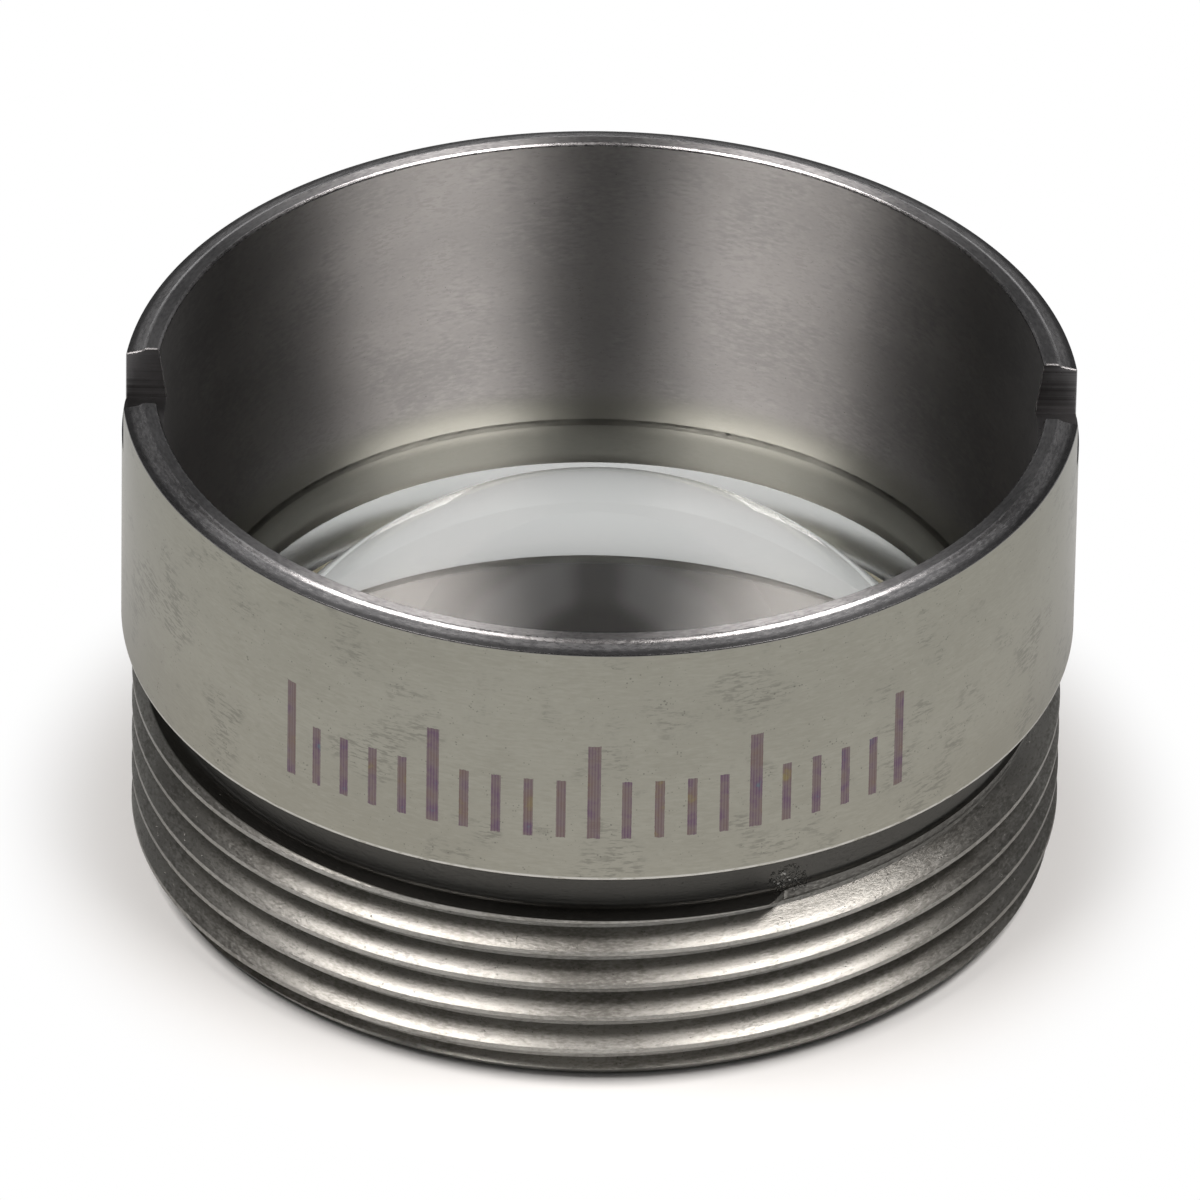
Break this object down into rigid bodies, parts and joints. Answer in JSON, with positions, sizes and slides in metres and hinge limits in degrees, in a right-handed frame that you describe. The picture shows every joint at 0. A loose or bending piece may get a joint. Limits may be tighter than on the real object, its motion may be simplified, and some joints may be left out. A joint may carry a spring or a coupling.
{
  "type": "mounted aspheric lens",
  "caption": "Round moulded glass asphere bonded in a threaded stainless steel housing, with spanner slots in its rim.",
  "frame": {"origin": "centre of the threaded end face, on the optical axis", "axes": "+Z along the optical axis from the thread to the slotted rim; the two spanner slots lie on +X and -X"},
  "size_m": [0.0122, 0.0122, 0.0068],
  "materials": {
    "stainless_steel": "fine turned stainless steel, satin on the band and in the cup, brighter on the thread flanks",
    "optical_glass": "polished clear moulded glass",
    "cured_adhesive": "cured amber adhesive, slightly glossy"
  },
  "bodies": {
    "root": {"housing": "stainless_steel", "aspheric_lens": "optical_glass", "adhesive_bead": "cured_adhesive"}
  },
  "joints": []
}
